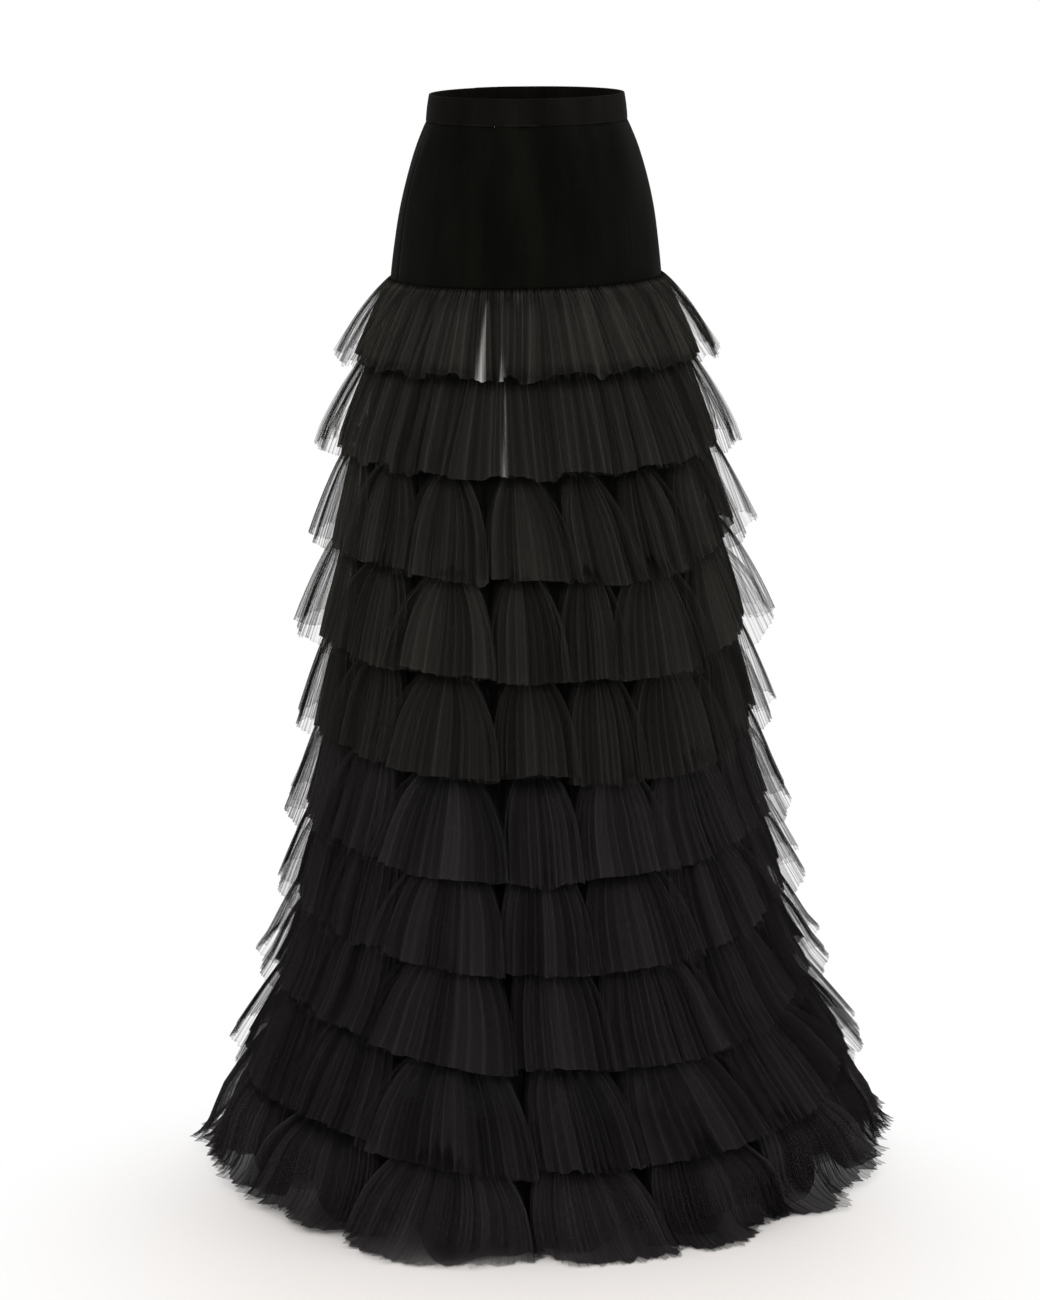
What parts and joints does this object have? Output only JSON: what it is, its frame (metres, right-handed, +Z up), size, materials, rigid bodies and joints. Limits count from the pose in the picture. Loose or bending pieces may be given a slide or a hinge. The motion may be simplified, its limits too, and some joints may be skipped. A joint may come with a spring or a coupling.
{
  "type": "maxi skirt",
  "caption": "Floor-length skirt with a narrow waistband and a fitted hip yoke above rows of finely pleated ruffles that widen to the hem.",
  "frame": {"origin": "centre of the waist opening, halfway up the waistband, where the wearer's waist holds the skirt up", "axes": "+Z up out of the waist, -Y towards the centre front, +X towards the wearer's left side"},
  "size_m": [0.7625, 0.7481, 1.1496],
  "materials": {
    "waistband_velvet": "black cotton velvet, short pile, folded double",
    "yoke_velvet": "black velvet, short pile with faint upright nap marks",
    "plain_tulle": "plain black tulle, sheer",
    "pleated_tulle": "black tulle in fine set pleats, sheer at the hems"
  },
  "bodies": {
    "root": {"waistband": "waistband_velvet", "yoke_front": "yoke_velvet", "yoke_back_left": "yoke_velvet", "yoke_back_right": "yoke_velvet", "foundation_skirt": "plain_tulle", "ruffle_01": "pleated_tulle", "ruffle_02": "pleated_tulle", "ruffle_03": "pleated_tulle", "ruffle_04": "pleated_tulle", "ruffle_05": "pleated_tulle", "ruffle_06": "pleated_tulle", "ruffle_07": "pleated_tulle", "ruffle_08": "pleated_tulle", "ruffle_09": "pleated_tulle", "ruffle_10": "pleated_tulle"}
  },
  "joints": []
}
